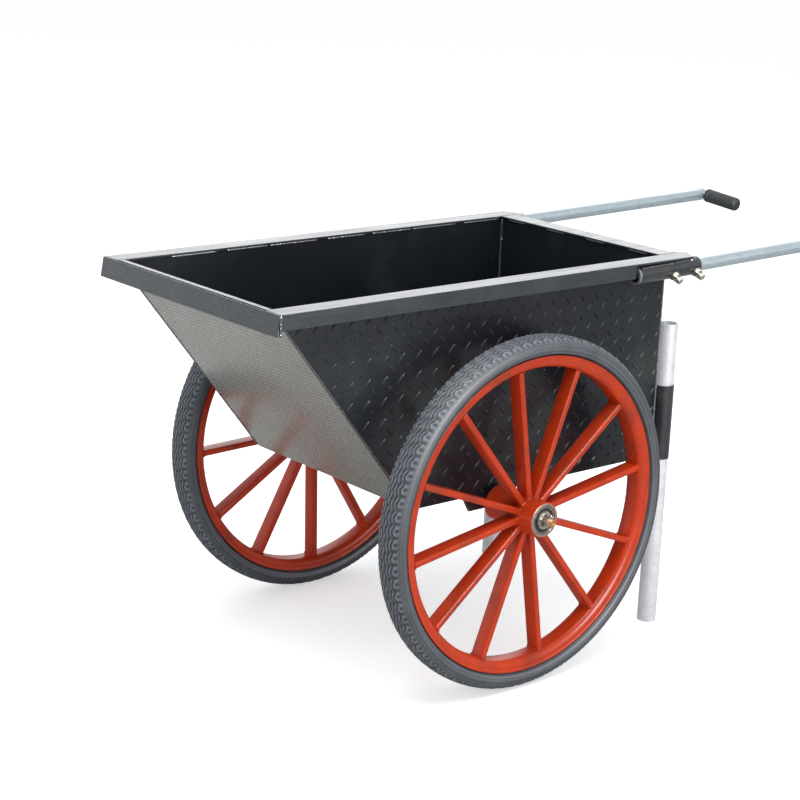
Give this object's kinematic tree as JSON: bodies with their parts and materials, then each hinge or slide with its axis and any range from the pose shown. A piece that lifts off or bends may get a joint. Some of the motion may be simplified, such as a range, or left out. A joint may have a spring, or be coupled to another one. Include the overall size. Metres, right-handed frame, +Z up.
{
  "type": "garden cart",
  "caption": "Two-wheeled tub cart: steel tub with sloping nose and angle rim, large spoked wheels on a through axle, sliding tube handles and adjustable rear legs.",
  "frame": {"origin": "on the ground, in the middle of the overall length and width; the wheels and the legs stand on z = 0", "axes": "+X towards the sloping nose, +Y towards the cart's left, +Z up; the axle runs along Y"},
  "size_m": [1.603, 0.786, 0.7525],
  "materials": {
    "black_paint": "satin black paint on chequer plate",
    "rim_paint": "satin dark blue-grey paint",
    "front_sheet": "light grey semi-gloss embossed sheet",
    "wheel_paint": "gloss red-orange paint",
    "tyre_rubber": "matt rubber with a wavy chain tread",
    "galvanised": "galvanised",
    "bearing_steel": "ground steel with a dark seal",
    "axle_steel": "bare oiled steel",
    "zinc": "zinc plated, slightly rusted",
    "grip_rubber": "ribbed black rubber"
  },
  "bodies": {
    "tub": {"axle": "axle_steel", "axle_bracket_left": "black_paint", "axle_bracket_right": "black_paint", "axle_nut_left": "zinc", "axle_nut_right": "zinc", "axle_washer_left": "zinc", "axle_washer_right": "zinc", "floor_plate": "black_paint", "front_plate": "front_sheet", "handle_socket_left": "black_paint", "handle_socket_right": "black_paint", "leg_bolt_left": "zinc", "leg_bolt_right": "zinc", "leg_sleeve_left": "black_paint", "leg_sleeve_right": "black_paint", "rear_plate": "black_paint", "rim_front": "rim_paint", "rim_left": "rim_paint", "rim_rear": "rim_paint", "rim_right": "rim_paint", "side_plate_left": "black_paint", "side_plate_right": "black_paint", "socket_bolt_left_front": "zinc", "socket_bolt_left_rear": "zinc", "socket_bolt_right_front": "zinc", "socket_bolt_right_rear": "zinc", "split_pin_left": "zinc", "split_pin_right": "zinc"},
    "wheel_left": {"tyre_left": "tyre_rubber", "wheel_rim_left": "wheel_paint", "hub_and_spokes_left": "wheel_paint", "bearing_outer_left": "bearing_steel", "bearing_inner_left": "bearing_steel"},
    "handle_left": {"pole_left": "galvanised", "crossbar_left": "galvanised", "grip_left": "grip_rubber"},
    "stand_leg_left": {"leg_left": "galvanised"},
    "wheel_right": {"tyre_right": "tyre_rubber", "wheel_rim_right": "wheel_paint", "hub_and_spokes_right": "wheel_paint", "bearing_outer_right": "bearing_steel", "bearing_inner_right": "bearing_steel"},
    "handle_right": {"pole_right": "galvanised", "crossbar_right": "galvanised", "grip_right": "grip_rubber"},
    "stand_leg_right": {"leg_right": "galvanised"}
  },
  "joints": [
    {"name": "wheel_left_spin", "type": "hinge", "parent": "tub", "child": "wheel_left", "pos_m": [0.26943, 0.3205, 0.33], "axis": [0, 1, 0], "continuous": true},
    {"name": "handle_left_slide", "type": "slide", "parent": "tub", "child": "handle_left", "axis": [-0.9998, 0, 0.0218], "range_m": [0, 0.1]},
    {"name": "leg_left_slide", "type": "slide", "parent": "tub", "child": "stand_leg_left", "axis": [0, 0, 1], "range_m": [-0.05, 0.09]},
    {"name": "wheel_right_spin", "type": "hinge", "parent": "tub", "child": "wheel_right", "pos_m": [0.26943, -0.3205, 0.33], "axis": [0, 1, 0], "continuous": true},
    {"name": "handle_right_slide", "type": "slide", "parent": "tub", "child": "handle_right", "axis": [-0.9998, 0, 0.0218], "range_m": [0, 0.1]},
    {"name": "leg_right_slide", "type": "slide", "parent": "tub", "child": "stand_leg_right", "axis": [0, 0, 1], "range_m": [-0.05, 0.09]}
  ]
}
